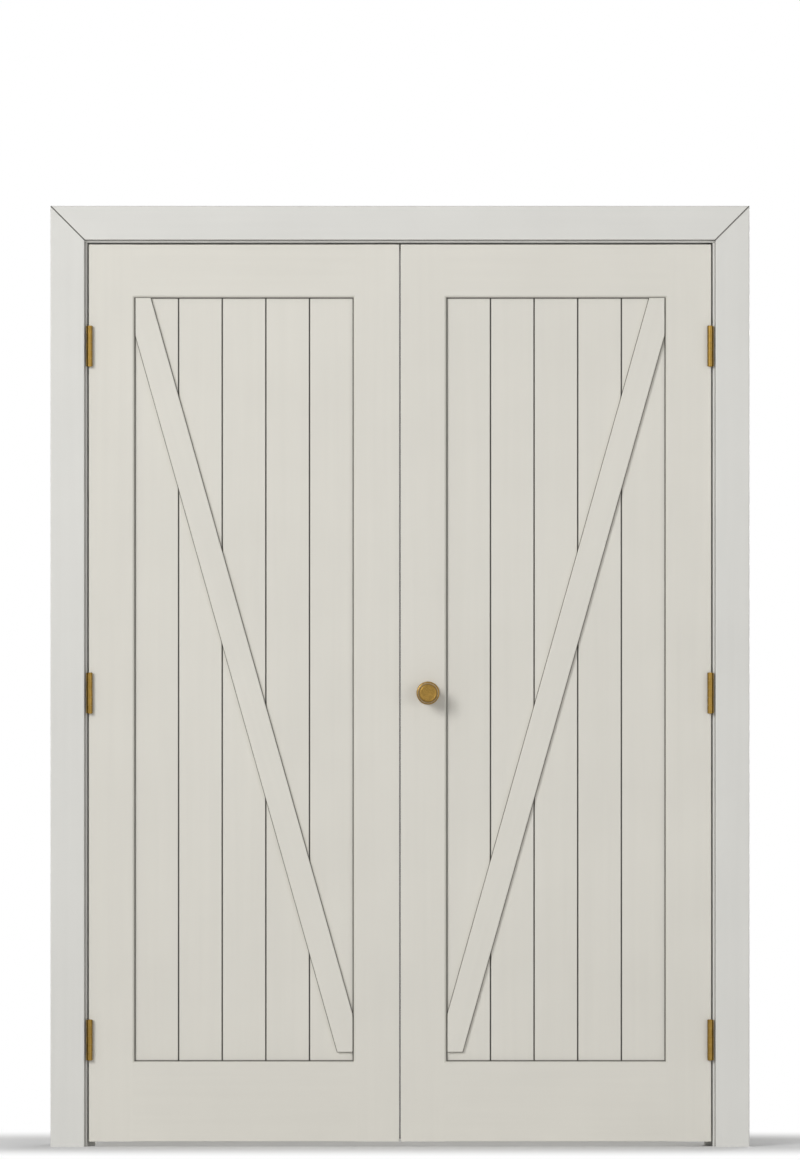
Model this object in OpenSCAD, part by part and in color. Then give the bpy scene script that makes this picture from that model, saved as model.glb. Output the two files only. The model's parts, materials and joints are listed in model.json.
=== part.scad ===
// Interior double door: a pair of boarded and braced leaves hung in a cased frame.
// X runs across the doorway, Y from the front to the back, Z up.
// The origin is on the floor, in the middle of the width, in the plane of the leaves' back faces.
// Pieces are drawn on the left, and the right-hand ones are their mirror image.

/* [Leaves] */
// Width of one leaf
leaf_w = 686; // [610:1:838]
// Height of one leaf
leaf_h = 1981; // [1900:1:2134]
// Thickness of a leaf
leaf_t = 35; // [34:1:44]
// Gap between a leaf and its side jamb
hinge_gap = 3; // [2:0.5:4]
// Gap between the two leaves
meeting_gap = 3; // [3:0.5:5]
// Gap over the leaves
head_gap = 4; // [2:0.5:6]
// Gap under the leaves
floor_gap = 11; // [6:1:20]
// Rounding along a leaf's outer edges
leaf_arris = 1.5; // [0.5:0.25:3]

/* [Stiles and rails] */
// Face width of a stile, up to its bevel
stile_face_w = 97; // [90:1:120]
// Face height of the top rail, up to its bevel
top_rail_face_h = 113; // [90:1:150]
// Face height of the bottom rail, up to its bevel
bottom_rail_face_h = 173; // [120:1:250]
// Width of the bevel around the panel
bevel_w = 5; // [3:0.5:7]
// Depth of the bevel around the panel
bevel_d = 5; // [3:0.5:7]
// Width of the groove that holds the panel
groove_w = 6; // [4:0.5:8]
// Depth of the groove that holds the panel
groove_d = 9; // [6:0.5:12]

/* [Panel boards] */
// Number of boards in a leaf
board_count = 5; // [3:1:7]
// Thickness of a board
board_t = 15; // [12:0.5:18]
// Open joint between two boards
joint_gap = 2; // [1:0.25:3]
// Chamfer along each board's joint edges
joint_chamfer = 1; // [0.5:0.25:2]
// Thickness of a board's tongue
tongue_t = 5; // [4:0.5:6]
// Length of a tongue inside the next board
tongue_l = 6; // [4:0.5:9]
// Clearance around every tongue
tongue_fit = 0.1; // [0.05:0.05:0.3]

/* [Brace] */
// Width of the brace across its grain
brace_w = 55; // [40:1:80]
// Thickness of the brace
brace_t = 9; // [6:0.5:10]
// Width of the square end that meets a rail
brace_tip_w = 33.5; // [24:0.5:60]
// Gap between the brace and each stile
brace_side_gap = 1.5; // [0.5:0.5:6]
// Gap between the brace's foot and the bottom rail
brace_foot_gap = 20; // [5:1:60]
// Chamfer along the brace's two long edges
brace_chamfer = 1.5; // [0.5:0.25:3]

/* [Frame] */
// Depth of the jambs, which is the finished wall's thickness
jamb_depth = 116; // [100:1:160]
// Thickness of the jambs
jamb_t = 25; // [22:1:32]
// Rounding along the jambs' edges
jamb_arris = 1.5; // [0.5:0.25:3]
// Depth of the housing that holds the head jamb's ends
head_housing_d = 8; // [5:0.5:12]
// How far the stops stand out from the jambs
stop_t = 17.5; // [10:0.5:25]
// Width of the stops
stop_w = 38; // [25:1:45]
// Gap between a closed leaf and the stops
stop_gap = 0.5; // [0.5:0.25:2]
// Rounding along the stops' edges
stop_arris = 1.5; // [0.5:0.25:3]
// Face width of the casing
casing_w = 75; // [57:1:100]
// Thickness of the casing
casing_t = 16; // [12:0.5:20]
// Strip of jamb left showing inside the casing
casing_reveal = 6; // [4:0.5:10]
// Rounding along the casing's edges
casing_arris = 2.5; // [1:0.25:5]
// Depth of the fine vee along the casing's mitres
mitre_vee = 0.8; // [0.4:0.1:1.5]

/* [Jamb fixings] */
// Radius of the fixing holes in the side jambs
fixing_r = 2.75; // [2:0.25:4]
// Radius of their countersinks
fixing_sink_r = 5.5; // [4.5:0.25:7]
// Distance between two fixings side by side
fixing_pitch_y = 20; // [15:1:24]
// Distance between the lower and the upper pair
fixing_pitch_z = 1200; // [800:10:1500]
// Height of the lower pair above the floor
fixing_z = 400; // [200:10:450]

/* [Hinges] */
// Height of a hinge
hinge_h = 89; // [76:1:102]
// Distance from a leaf's end to its nearest hinge
hinge_end = 180; // [120:1:260]
// Radius of the knuckles
barrel_r = 6.5; // [5.5:0.25:7.5]
// How far the knuckles lap over the jamb's edge
barrel_lap = 1; // [0.5:0.25:2]
// Gap between the knuckles and the leaf's face
barrel_clear = 0.5; // [0.3:0.1:1]
// Thickness of a hinge plate
plate_t = 2.2; // [1.6:0.1:2.8]
// Depth of a hinge plate, from the leaf's front face
plate_w = 30; // [24:1:32]
// Radius of the hinge pins
pin_r = 3; // [2.5:0.25:3.5]
// Running clearance around the pins
pin_fit = 0.05; // [0.02:0.01:0.1]
// Height of the flat tip on each end of a pin
pin_tip_h = 0.8; // [0.5:0.1:2]
// Gap between two knuckles
knuckle_gap = 0.3; // [0.2:0.05:0.5]

/* [Screws] */
// Radius of the screws' shanks
screw_r = 2; // [1.6:0.1:2.4]
// Radius of the screws' heads
screw_head_r = 3.9; // [3.3:0.1:4.4]
// Height of the screws' countersunk heads
screw_head_h = 1.9; // [1.5:0.1:2.4]
// Length of the screws
screw_l = 18; // [14:1:20]
// Clearance around the screws
screw_fit = 0.05; // [0.02:0.01:0.15]

/* [Knobs and roses] */
// Height of the knobs above the leaf's foot
knob_up = 990.5; // [850:0.5:1100]
// Distance from the leaf's meeting edge to the knobs' axis
backset = 60.3; // [56:0.1:64]
// Radius of the roses
rose_r = 25.5; // [22:0.5:32]
// Thickness of the roses
rose_t = 7; // [5:0.5:10]
// Rounding of the roses' rims
rose_round = 3; // [1:0.5:4.5]
// Largest radius of the knobs
knob_r = 22.5; // [19:0.5:24]
// Radius of the knobs' flat faces
knob_face_r = 16.5; // [10:0.5:18]
// How far the knobs stand out from the leaf
knob_out = 62; // [54:1:70]
// Distance from the leaf to the knobs' largest radius
knob_belly = 45; // [38:1:50]
// Length of the knobs' necks
neck_l = 25; // [16:1:30]
// Radius of the knobs' necks
neck_r = 9; // [8:0.5:11]
// Clearance between a neck and its rose
neck_fit = 0.3; // [0.2:0.05:0.5]
// Depth of the dished face of a knob
face_dish = 0.8; // [0.4:0.1:2]
// Width of the square spindle
spindle_w = 8; // [7:0.5:8]
// Length of spindle inside each knob
spindle_grip = 32; // [20:1:40]
// Clearance around the spindle in its sockets
socket_fit = 0.05; // [0.02:0.01:0.15]
// Radius of the spindle's bore through the stile
spindle_bore_r = 11; // [9.5:0.5:12]

/* [Latch] */
// How far the latch bolt is thrown
latch_throw = 11; // [9:0.5:11]
// Turn of the knob that draws the latch bolt back, in degrees
knob_turn = 70; // [60:1:70]
// Wall of the latch case
case_wall = 1.5; // [1:0.25:2]
// Clearance around the latch case in its bore
case_fit = 0.1; // [0.05:0.05:0.3]
// Width of the latch faceplate and of the strike plate
face_w = 25; // [22:1:28]
// Height of the latch faceplate and of the strike plate
face_h = 57; // [50:1:70]
// Thickness of the latch faceplate and of the strike plate
face_t = 3; // [2:0.25:4]
// Thickness of the latch bolt
bolt_w = 12; // [9:0.5:13]
// Height of the latch bolt
bolt_h = 14; // [10:0.5:15]
// Length of the latch bolt's head
bolt_l = 36; // [30:1:40]
// Length of the bevel on the latch bolt
bolt_bevel = 9; // [6:0.5:11]
// Clearance around the latch bolt in its faceplate
bolt_fit = 0.3; // [0.2:0.05:0.6]
// Clearance around the latch bolt in the strike plate
strike_fit = 1; // [0.5:0.25:2]
// Radius of the follower that the spindle turns
follower_r = 7; // [6.5:0.25:8]
// Running clearance around the follower
follower_fit = 0.06; // [0.02:0.01:0.1]

/* [Flush bolt] */
// Radius of the flush bolt's rod
rod_r = 4; // [3:0.25:5]
// Clearance around the rod
rod_fit = 0.15; // [0.1:0.05:0.4]
// How far the flush bolt is thrown
rod_throw = 16; // [10:1:18]
// Height of the flush bolt's plate
flush_h = 170; // [130:5:220]
// Width of the flush bolt's plate
flush_w = 20; // [17:1:25]
// Thickness of the flush bolt's plate and of its keeper
flush_t = 2.5; // [2:0.25:3]
// Distance from the leaf's top to the flush bolt's plate
flush_top = 60; // [40:5:120]
// Wall of the housing around the rod
flush_wall = 3; // [2:0.25:4]
// Height of the thumb slide
thumb_h = 14; // [10:1:20]
// Width of the thumb slide
thumb_w = 7; // [5:0.5:8]
// Length of the keeper plate
keeper_l = 40; // [36:1:60]
// Clearance around the rod in its keeper
keeper_fit = 0.75; // [0.5:0.25:1.5]

/* [Hidden] */
$fn = 64;
// Overrun of every cut past the face that it opens
cut = 1;
frame_paint = "#D7D6D1";
leaf_paint = "#D8D5CC";
brass = "#98793A";
steel = "#A3A29C";

// Opening between the jambs, and the places of the left jamb and leaf
opening_w = 2 * leaf_w + meeting_gap + 2 * hinge_gap;
opening_h = floor_gap + leaf_h + head_gap;
jamb_x = -opening_w / 2;
jamb_front = -leaf_t;
jamb_back = jamb_front + jamb_depth;
leaf_x = jamb_x + hinge_gap;
leaf_top = floor_gap + leaf_h;
edge_x = -meeting_gap / 2;
mid_y = -leaf_t / 2;

// Casing and stops
casing_a = opening_w / 2 + casing_reveal;
casing_h = opening_h + casing_reveal;
casing_front = jamb_front - casing_t;
stop_a = opening_w / 2 - stop_t;
stop_h = opening_h - stop_t;
stop_back = stop_gap + stop_w;
fixing_y = (stop_back + jamb_back) / 2;
arc_steps = 4;

// Field of the panel inside a leaf
stile_w = stile_face_w + bevel_w;
field_w = leaf_w - 2 * stile_w;
field_z0 = bottom_rail_face_h + bevel_w;
field_z1 = leaf_h - top_rail_face_h - bevel_w;
groove_front = mid_y - groove_w / 2;
groove_back = mid_y + groove_w / 2;
tenon_x = stile_w - groove_d + tongue_fit;
board_pitch = field_w / board_count;
board_front = mid_y - board_t / 2;
board_back = mid_y + board_t / 2;
edge_tongue_l = groove_d - tongue_fit;
edge_tongue_t = groove_w - 2 * tongue_fit;

// Brace: its box, and its slope from the upright
brace_x = stile_w + brace_side_gap;
brace_box_w = field_w - 2 * brace_side_gap;
brace_z = field_z0 + brace_foot_gap;
brace_box_h = field_z1 - brace_z;
brace_run = brace_box_w - 2 * brace_tip_w;
brace_reach = norm([brace_run, brace_box_h]);
brace_slope = atan2(brace_run, brace_box_h) + asin(brace_w / brace_reach);
brace_rise = (brace_box_w - brace_tip_w) / tan(brace_slope);

// Hinges: names from the floor up, and the lower end of each above the leaf's foot
HINGES = ["bottom", "middle", "top"];
hinge_z = [hinge_end, (leaf_h - hinge_h) / 2, leaf_h - hinge_end - hinge_h];
knuckle_count = 5;
knuckle_h = hinge_h / knuckle_count;
pin_x = jamb_x + barrel_r - barrel_lap;
pin_y = jamb_front - barrel_r - barrel_clear;
pin_tip_share = 0.8;
screw_row_shares = [0.14, 0.5, 0.86];
screw_set_shares = [0.36, 0.72, 0.36];

// Screws: point and cross recess, as shares of the head and shank
screw_point_share = 2;
screw_tip_share = 0.15;
recess_w_share = 0.16;
recess_l_share = 0.62;
recess_d_share = 0.6;

// Latch: the knobs' axis, and the works inside the case
knob_x = edge_x - backset;
knob_z = floor_gap + knob_up;
curve_steps = 12;
face_screw_share = 0.37;
works_gap = 0.5;
tail_h = 1.5;
tail_t = 1.2;
heel_l = 4;
finger_w = 3;
finger_half = 3;
finger_l = follower_r + works_gap + tail_h;
tail_z = knob_z - follower_r - works_gap;
tail_y = finger_half + works_gap;
// The tail's cross bar keeps clear of the finger at both ends of its travel
cross_x = knob_x - finger_l * sin(knob_turn / 2) - finger_w / 2 - 2 * works_gap;
bolt_back = edge_x - bolt_l;
bolt_nose_share = 0.15;
case_in_r = max(norm([tail_y + tail_t, finger_l]), norm([bolt_w, bolt_h]) / 2) + works_gap;
case_r = case_in_r + case_wall;
case_back = cross_x - tail_t - works_gap - case_wall;
strike_d = latch_throw - meeting_gap + 2 * strike_fit;

// Flush bolt: the rod passes behind the points of its plate's screws
rod_x = edge_x - screw_l - works_gap - rod_r;
flush_z1 = leaf_top - flush_top;
flush_z0 = flush_z1 - flush_h;
flush_ear_share = 0.1;
flush_ear = flush_h * flush_ear_share;
thumb_z = (flush_z0 + flush_z1 - rod_throw) / 2;
keeper_screw_share = 0.34;

function numbered(name) = [for (i = [1 : board_count]) str(name, i)];
function hinged(side, part) = [for (at = HINGES) str(side, "_", at, "_hinge_", part)];

// Common shapes
module block(low, high) {
  translate(low)
    cube(high - low);
}

module rod_along_x(r, x0, x1, y, z) {
  translate([x0, y, z])
    rotate([0, 90, 0])
      cylinder(h = x1 - x0, r = r);
}

module rod_along_y(r, x, y0, y1, z) {
  translate([x, y0, z])
    rotate([-90, 0, 0])
      cylinder(h = y1 - y0, r = r);
}

module rod_along_z(r, x, y, z0, z1) {
  translate([x, y, z0])
    cylinder(h = z1 - z0, r = r);
}

// A flat outline in X and Z, given thickness from y0 to y1
module upright(y0, y1) {
  translate([0, y1, 0])
    rotate([90, 0, 0])
      linear_extrude(y1 - y0)
        children();
}

// A section in Y and Z, drawn along X from x0 to x1
module along_x(x0, x1) {
  translate([x0, 0, 0])
    rotate([90, 0, 90])
      linear_extrude(x1 - x0)
        children();
}

// A quarter round about a point, from an angle onwards
function arc(x, y, r, start) = [
  for (k = [0 : arc_steps])
    [x + r * cos(start + 90 * k / arc_steps), y + r * sin(start + 90 * k / arc_steps)]
];

function swapped(points) = [for (p = points) [p[1], p[0]]];

// Left-hand pieces moved to where they belong
module on_right() {
  mirror([1, 0, 0])
    children();
}

module at_rear_face() {
  translate([0, jamb_front + jamb_back, 0])
    mirror([0, 1, 0])
      children();
}

module in_leaf() {
  translate([leaf_x, 0, floor_gap])
    children();
}

module from_meeting_edge() {
  translate([leaf_w, 0, 0])
    mirror([1, 0, 0])
      children();
}

module from_leaf_top() {
  translate([0, 0, leaf_h])
    mirror([0, 0, 1])
      children();
}

// Screws: head up at the origin, and the hole that takes one
module screw() {
  point_h = screw_r * screw_point_share;
  difference() {
    union() {
      translate([0, 0, -screw_head_h])
        cylinder(h = screw_head_h, r1 = screw_r, r2 = screw_head_r);
      translate([0, 0, point_h - screw_l])
        cylinder(h = screw_l - point_h, r = screw_r);
      translate([0, 0, -screw_l])
        cylinder(h = point_h, r1 = screw_r * screw_tip_share, r2 = screw_r);
    }
    for (turn = [0, 90])
      rotate([0, 0, turn])
        screw_slot();
  }
}

module screw_slot() {
  half_l = screw_head_r * recess_l_share;
  half_w = screw_head_r * recess_w_share;
  block([-half_l, -half_w, -screw_head_h * recess_d_share], [half_l, half_w, cut]);
}

module screw_hole() {
  translate([0, 0, -screw_head_h])
    cylinder(h = screw_head_h, r1 = screw_r + screw_fit, r2 = screw_head_r + screw_fit);
  translate([0, 0, -screw_l - screw_fit])
    cylinder(h = screw_l, r = screw_r + screw_fit);
  cylinder(h = cut, r = screw_head_r + screw_fit);
}

// Places of the three screws in a hinge plate, as depth and height
function hinge_screw(k, row) = [
  jamb_front + plate_w * screw_set_shares[row],
  floor_gap + hinge_z[k] + hinge_h * screw_row_shares[row]
];

module at_frame_plate_screws(hinges) {
  for (k = hinges, row = [0 : 2])
    translate([jamb_x, hinge_screw(k, row)[0], hinge_screw(k, row)[1]])
      rotate([0, 90, 0])
        children();
}

module at_leaf_plate_screws(hinges) {
  for (k = hinges, row = [0 : 2])
    translate([leaf_x, hinge_screw(k, row)[0], hinge_screw(k, row)[1]])
      rotate([0, -90, 0])
        children();
}

module at_face_screws() {
  for (side = [-1, 1])
    translate([edge_x, mid_y, knob_z + side * face_h * face_screw_share])
      rotate([0, 90, 0])
        children();
}

module at_flush_screws() {
  for (z = [flush_z0 + flush_ear / 2, flush_z1 - flush_ear / 2])
    translate([edge_x, mid_y, z])
      rotate([0, 90, 0])
        children();
}

module at_keeper_screws() {
  for (side = [-1, 1])
    translate([rod_x + side * keeper_l * keeper_screw_share, mid_y, opening_h])
      rotate([180, 0, 0])
        children();
}

// Jambs. The section's points give the distance into the jamb from its inner face, and the depth.
function jamb_points() = concat(
  arc(jamb_arris, jamb_front + jamb_arris, jamb_arris, 180),
  [[jamb_t, jamb_front], [jamb_t, jamb_back]],
  arc(jamb_arris, jamb_back - jamb_arris, jamb_arris, 90)
);

module side_jamb() {
  difference() {
    linear_extrude(opening_h + jamb_t)
      polygon([for (p = jamb_points()) [jamb_x - p[0], p[1]]]);
    block(
      [jamb_x - head_housing_d, jamb_front - cut, opening_h],
      [jamb_x + cut, jamb_back + cut, opening_h + jamb_t + cut]
    );
    for (k = [0 : 2])
      frame_plate_block(k, cut);
    at_frame_plate_screws([0 : 2])
      screw_hole();
    for (y = [-1, 1], z = [0, 1])
      translate([jamb_x, fixing_y + y * fixing_pitch_y / 2, fixing_z + z * fixing_pitch_z])
        rotate([0, -90, 0])
          fixing_hole();
  }
}

module fixing_hole() {
  cylinder(h = jamb_t + cut, r = fixing_r);
  cylinder(h = fixing_sink_r - fixing_r, r1 = fixing_sink_r, r2 = fixing_r);
  translate([0, 0, -cut])
    cylinder(h = cut, r = fixing_sink_r);
}

module left_jamb() {
  color(frame_paint)
    side_jamb();
}

module right_jamb() {
  color(frame_paint)
    on_right()
      side_jamb();
}

module head_jamb() {
  end_x = jamb_x - head_housing_d;
  color(frame_paint)
    difference() {
      along_x(end_x, -end_x)
        polygon([for (p = jamb_points()) [p[1], opening_h + p[0]]]);
      keeper_block(cut);
      keeper_hole();
      at_keeper_screws()
        screw_hole();
    }
}

// Mitred surrounds of half-width a, height h and face width w.
// A section's points give the distance from the surround's inner edge, and the depth.
module mitred_leg(a, h, w, points) {
  difference() {
    linear_extrude(h + w)
      polygon([for (p = points) [-a - p[0], p[1]]]);
    upright(casing_front - cut, jamb_back + casing_t + cut)
      polygon([[cut - a, h - cut], [cut - a, h + w + cut], [-a - w - cut, h + w + cut]]);
  }
}

module mitred_head(a, h, w, points) {
  difference() {
    along_x(-a - w, a + w)
      polygon([for (p = points) [p[1], h + p[0]]]);
    for (side = [0, 1])
      mirror([side, 0, 0])
        upright(casing_front - cut, jamb_back + casing_t + cut)
          polygon([[cut - a, h - cut], [-a - w - cut, h + w + cut], [-a - w - cut, h - cut]]);
  }
}

// Stops, planted on the jambs behind the leaves
function stop_points() = concat(
  arc(stop_arris, stop_gap + stop_arris, stop_arris, 180),
  [[stop_t, stop_gap], [stop_t, stop_back]],
  arc(stop_arris, stop_back - stop_arris, stop_arris, 90)
);

module left_stop() {
  color(frame_paint)
    mitred_leg(stop_a, stop_h, stop_t, stop_points());
}

module right_stop() {
  color(frame_paint)
    on_right()
      mitred_leg(stop_a, stop_h, stop_t, stop_points());
}

module head_stop() {
  color(frame_paint)
    mitred_head(stop_a, stop_h, stop_t, stop_points());
}

// Casings, on both sides of the wall
function casing_points() = concat(
  [[0, jamb_front]],
  arc(casing_arris, casing_front + casing_arris, casing_arris, 180),
  arc(casing_w - casing_arris, casing_front + casing_arris, casing_arris, 270),
  [[casing_w, jamb_front]]
);

module mitre_line() {
  side = mitre_vee * sqrt(2);
  translate([-casing_a, casing_front, casing_h])
    rotate([0, -45, 0])
      rotate([0, 0, 45])
        translate([-side / 2, -side / 2, -cut])
          cube([side, side, casing_w * sqrt(2) + 2 * cut]);
}

module casing_leg() {
  difference() {
    mitred_leg(casing_a, casing_h, casing_w, casing_points());
    mitre_line();
  }
}

module casing_head() {
  difference() {
    mitred_head(casing_a, casing_h, casing_w, casing_points());
    for (side = [0, 1])
      mirror([side, 0, 0])
        mitre_line();
  }
}

module left_casing() {
  color(frame_paint)
    casing_leg();
}

module right_casing() {
  color(frame_paint)
    on_right()
      casing_leg();
}

module head_casing() {
  color(frame_paint)
    casing_head();
}

module rear_left_casing() {
  color(frame_paint)
    at_rear_face()
      casing_leg();
}

module rear_right_casing() {
  color(frame_paint)
    at_rear_face()
      on_right()
        casing_leg();
}

module rear_head_casing() {
  color(frame_paint)
    at_rear_face()
      casing_head();
}

// Hinges: k counts from the floor up, and knuckles from the bottom of each hinge
module frame_plate_block(k, proud) {
  z = floor_gap + hinge_z[k];
  block([jamb_x - plate_t, jamb_front - proud, z], [jamb_x + proud, jamb_front + plate_w, z + hinge_h]);
}

module leaf_plate_block(k, proud) {
  z = floor_gap + hinge_z[k];
  block([leaf_x - proud, jamb_front - proud, z], [leaf_x + plate_t, jamb_front + plate_w, z + hinge_h]);
}

// Every second knuckle, with the neck that joins it to a plate whose outer face is at plate_x
module knuckles(k, first, plate_x) {
  for (n = [first : 2 : knuckle_count - 1]) {
    z = floor_gap + hinge_z[k] + n * knuckle_h;
    z0 = n == 0 ? z : z + knuckle_gap / 2;
    z1 = n == knuckle_count - 1 ? z + knuckle_h : z + knuckle_h - knuckle_gap / 2;
    rod_along_z(barrel_r, pin_x, pin_y, z0, z1);
    block([plate_x, pin_y, z0], [plate_x + plate_t, jamb_front + plate_w / 2, z1]);
  }
}

module pin_bore(k) {
  z = floor_gap + hinge_z[k];
  rod_along_z(pin_r + pin_fit, pin_x, pin_y, z - cut, z + hinge_h + cut);
}

module hinge_frame_plate(k) {
  difference() {
    union() {
      frame_plate_block(k, 0);
      knuckles(k, 0, jamb_x - plate_t);
    }
    pin_bore(k);
    at_frame_plate_screws([k])
      screw_hole();
  }
}

module hinge_leaf_plate(k) {
  difference() {
    union() {
      leaf_plate_block(k, 0);
      knuckles(k, 1, leaf_x);
    }
    pin_bore(k);
    at_leaf_plate_screws([k])
      screw_hole();
  }
}

module left_frame_plate(k) {
  color(brass)
    hinge_frame_plate(k);
}

module right_frame_plate(k) {
  color(brass)
    on_right()
      hinge_frame_plate(k);
}

module left_leaf_plate(k) {
  color(brass)
    hinge_leaf_plate(k);
}

module right_leaf_plate(k) {
  color(brass)
    on_right()
      hinge_leaf_plate(k);
}

module hinge_pin(k) {
  z = floor_gap + hinge_z[k];
  rod_along_z(pin_r, pin_x, pin_y, z - pin_tip_h, z + hinge_h + pin_tip_h);
  for (tip = [z - pin_tip_h, z + hinge_h])
    rod_along_z(barrel_r * pin_tip_share, pin_x, pin_y, tip, tip + pin_tip_h);
}

module hinge_pins() {
  color(brass)
    for (side = [0, 1], k = [0 : 2])
      mirror([side, 0, 0])
        hinge_pin(k);
}

module frame_screws() {
  color(brass) {
    for (side = [0, 1])
      mirror([side, 0, 0])
        at_frame_plate_screws([0 : 2])
          screw();
    at_keeper_screws()
      screw();
  }
}

// Keeper of the flush bolt, let into the head jamb
module keeper_block(proud) {
  block(
    [rod_x - keeper_l / 2, mid_y - flush_w / 2, opening_h - proud],
    [rod_x + keeper_l / 2, mid_y + flush_w / 2, opening_h + flush_t]
  );
}

module keeper_hole() {
  rod_along_z(rod_r + keeper_fit, rod_x, mid_y, opening_h - cut, leaf_top + rod_throw + keeper_fit);
}

module bolt_keeper() {
  color(brass)
    difference() {
      keeper_block(0);
      keeper_hole();
      at_keeper_screws()
        screw_hole();
    }
}

// Section of a stile or rail: the distance from the leaf's edge, and the depth
function inner_points(face) = [
  [face, -leaf_t],
  [face + bevel_w, bevel_d - leaf_t],
  [face + bevel_w, groove_front],
  [face + bevel_w - groove_d, groove_front],
  [face + bevel_w - groove_d, groove_back],
  [face + bevel_w, groove_back],
  [face + bevel_w, -bevel_d],
  [face, 0]
];

function section_points(face) = concat(
  arc(leaf_arris, leaf_arris - leaf_t, leaf_arris, 180),
  inner_points(face),
  arc(leaf_arris, -leaf_arris, leaf_arris, 90)
);

// The inner side of a stile, run past both faces, which copes the ends of the rails
function cope_points() = concat(
  [[0, -leaf_t - cut], [stile_face_w, -leaf_t - cut]],
  inner_points(stile_face_w),
  [[stile_face_w, cut], [0, cut]]
);

module stile() {
  linear_extrude(leaf_h)
    polygon(section_points(stile_face_w));
}

module stile_cope() {
  translate([0, 0, -cut])
    linear_extrude(leaf_h + 2 * cut)
      polygon(cope_points());
}

// A rail with its stub tenons, drawn at the leaf's foot
module rail(face) {
  difference() {
    along_x(tenon_x, leaf_w - tenon_x)
      polygon(swapped(section_points(face)));
    stile_cope();
    from_meeting_edge()
      stile_cope();
  }
}

module hinge_stile() {
  difference() {
    in_leaf()
      stile();
    for (k = [0 : 2])
      leaf_plate_block(k, cut);
    at_leaf_plate_screws([0 : 2])
      screw_hole();
  }
}

module meeting_stile() {
  in_leaf()
    from_meeting_edge()
      stile();
}

module left_hinge_stile() {
  color(leaf_paint)
    hinge_stile();
}

module right_hinge_stile() {
  color(leaf_paint)
    on_right()
      hinge_stile();
}

module left_meeting_stile() {
  color(leaf_paint)
    difference() {
      meeting_stile();
      face_block(cut);
      strike_hole();
      at_face_screws()
        screw_hole();
      flush_plate_block(cut);
      flush_body_block(flush_t);
      rod_along_z(rod_r + rod_fit, rod_x, mid_y, flush_z1 - flush_ear - cut, leaf_top + cut);
      at_flush_screws()
        screw_hole();
    }
}

module right_meeting_stile() {
  color(leaf_paint)
    on_right()
      difference() {
        meeting_stile();
        face_block(cut);
        rod_along_x(case_r + case_fit, case_back - case_fit, edge_x, mid_y, knob_z);
        rod_along_y(spindle_bore_r, knob_x, -leaf_t - cut, cut, knob_z);
        at_face_screws()
          screw_hole();
      }
}

module left_top_rail() {
  color(leaf_paint)
    in_leaf()
      from_leaf_top()
        rail(top_rail_face_h);
}

module right_top_rail() {
  color(leaf_paint)
    on_right()
      in_leaf()
        from_leaf_top()
          rail(top_rail_face_h);
}

module left_bottom_rail() {
  color(leaf_paint)
    in_leaf()
      rail(bottom_rail_face_h);
}

module right_bottom_rail() {
  color(leaf_paint)
    on_right()
      in_leaf()
        rail(bottom_rail_face_h);
}

// Boards are counted from the hinge stile. The outer edges of the first and the last are
// tongues in the stiles' grooves, and each other joint is a tongue in the next board.
function tongue_edge(x, out, t) = [
  [x, mid_y - t / 2],
  [x + out, mid_y - t / 2],
  [x + out, mid_y + t / 2],
  [x, mid_y + t / 2]
];

function plain_edge(x, out) = concat(
  [[x, board_front]],
  tongue_edge(x, out, edge_tongue_t),
  [[x, board_back]]
);

function joint_edge(x, inward, out, t) = concat(
  [[x + inward, board_front], [x, board_front + joint_chamfer]],
  tongue_edge(x, out, t),
  [[x, board_back - joint_chamfer], [x + inward, board_back]]
);

function reversed(points) = [for (i = [1 : len(points)]) points[len(points) - i]];

module board(i) {
  first = i == 1;
  last = i == board_count;
  x0 = stile_w + (i - 1) * board_pitch + (first ? 0 : joint_gap / 2);
  x1 = stile_w + i * board_pitch - (last ? 0 : joint_gap / 2);
  slot = tongue_l + tongue_fit;
  low_edge = first
    ? plain_edge(x0, -edge_tongue_l)
    : joint_edge(x0, joint_chamfer, slot, tongue_t + 2 * tongue_fit);
  high_edge = last
    ? plain_edge(x1, edge_tongue_l)
    : joint_edge(x1, -joint_chamfer, joint_gap + tongue_l, tongue_t);
  translate([0, 0, field_z0])
    linear_extrude(field_z1 - field_z0)
      polygon(concat(low_edge, reversed(high_edge)));
  block(
    [first ? x0 : x0 + slot, mid_y - edge_tongue_t / 2, field_z0 - edge_tongue_l],
    [x1, mid_y + edge_tongue_t / 2, field_z1 + edge_tongue_l]
  );
}

module left_board(i) {
  color(leaf_paint)
    in_leaf()
      board(i);
}

module right_board(i) {
  color(leaf_paint)
    on_right()
      in_leaf()
        board(i);
}

// The brace runs from the top hinge-side corner to the foot of the meeting stile
function brace_points() = [
  [0, brace_box_h],
  [0, brace_rise],
  [brace_box_w - brace_tip_w, 0],
  [brace_box_w, 0],
  [brace_box_w, brace_box_h - brace_rise],
  [brace_tip_w, brace_box_h]
];

module brace() {
  points = brace_points();
  translate([brace_x, 0, brace_z])
    difference() {
      upright(board_front - brace_t, board_front)
        polygon(points);
      brace_edge_cut(points[1], points[2]);
      brace_edge_cut(points[4], points[5]);
    }
}

// A square bar on its corner along one edge of the brace's face, which runs out past both ends
module brace_edge_cut(from, to) {
  side = brace_chamfer * sqrt(2);
  run = to - from;
  past = brace_chamfer / sin(brace_slope) + cut;
  translate([from[0], board_front - brace_t, from[1]])
    rotate([0, -atan2(run[1], run[0]), 0])
      rotate([45, 0, 0])
        translate([-past, -side / 2, -side / 2])
          cube([norm(run) + 2 * past, side, side]);
}

module left_brace() {
  color(leaf_paint)
    in_leaf()
      brace();
}

module right_brace() {
  color(leaf_paint)
    on_right()
      in_leaf()
        brace();
}

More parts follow.
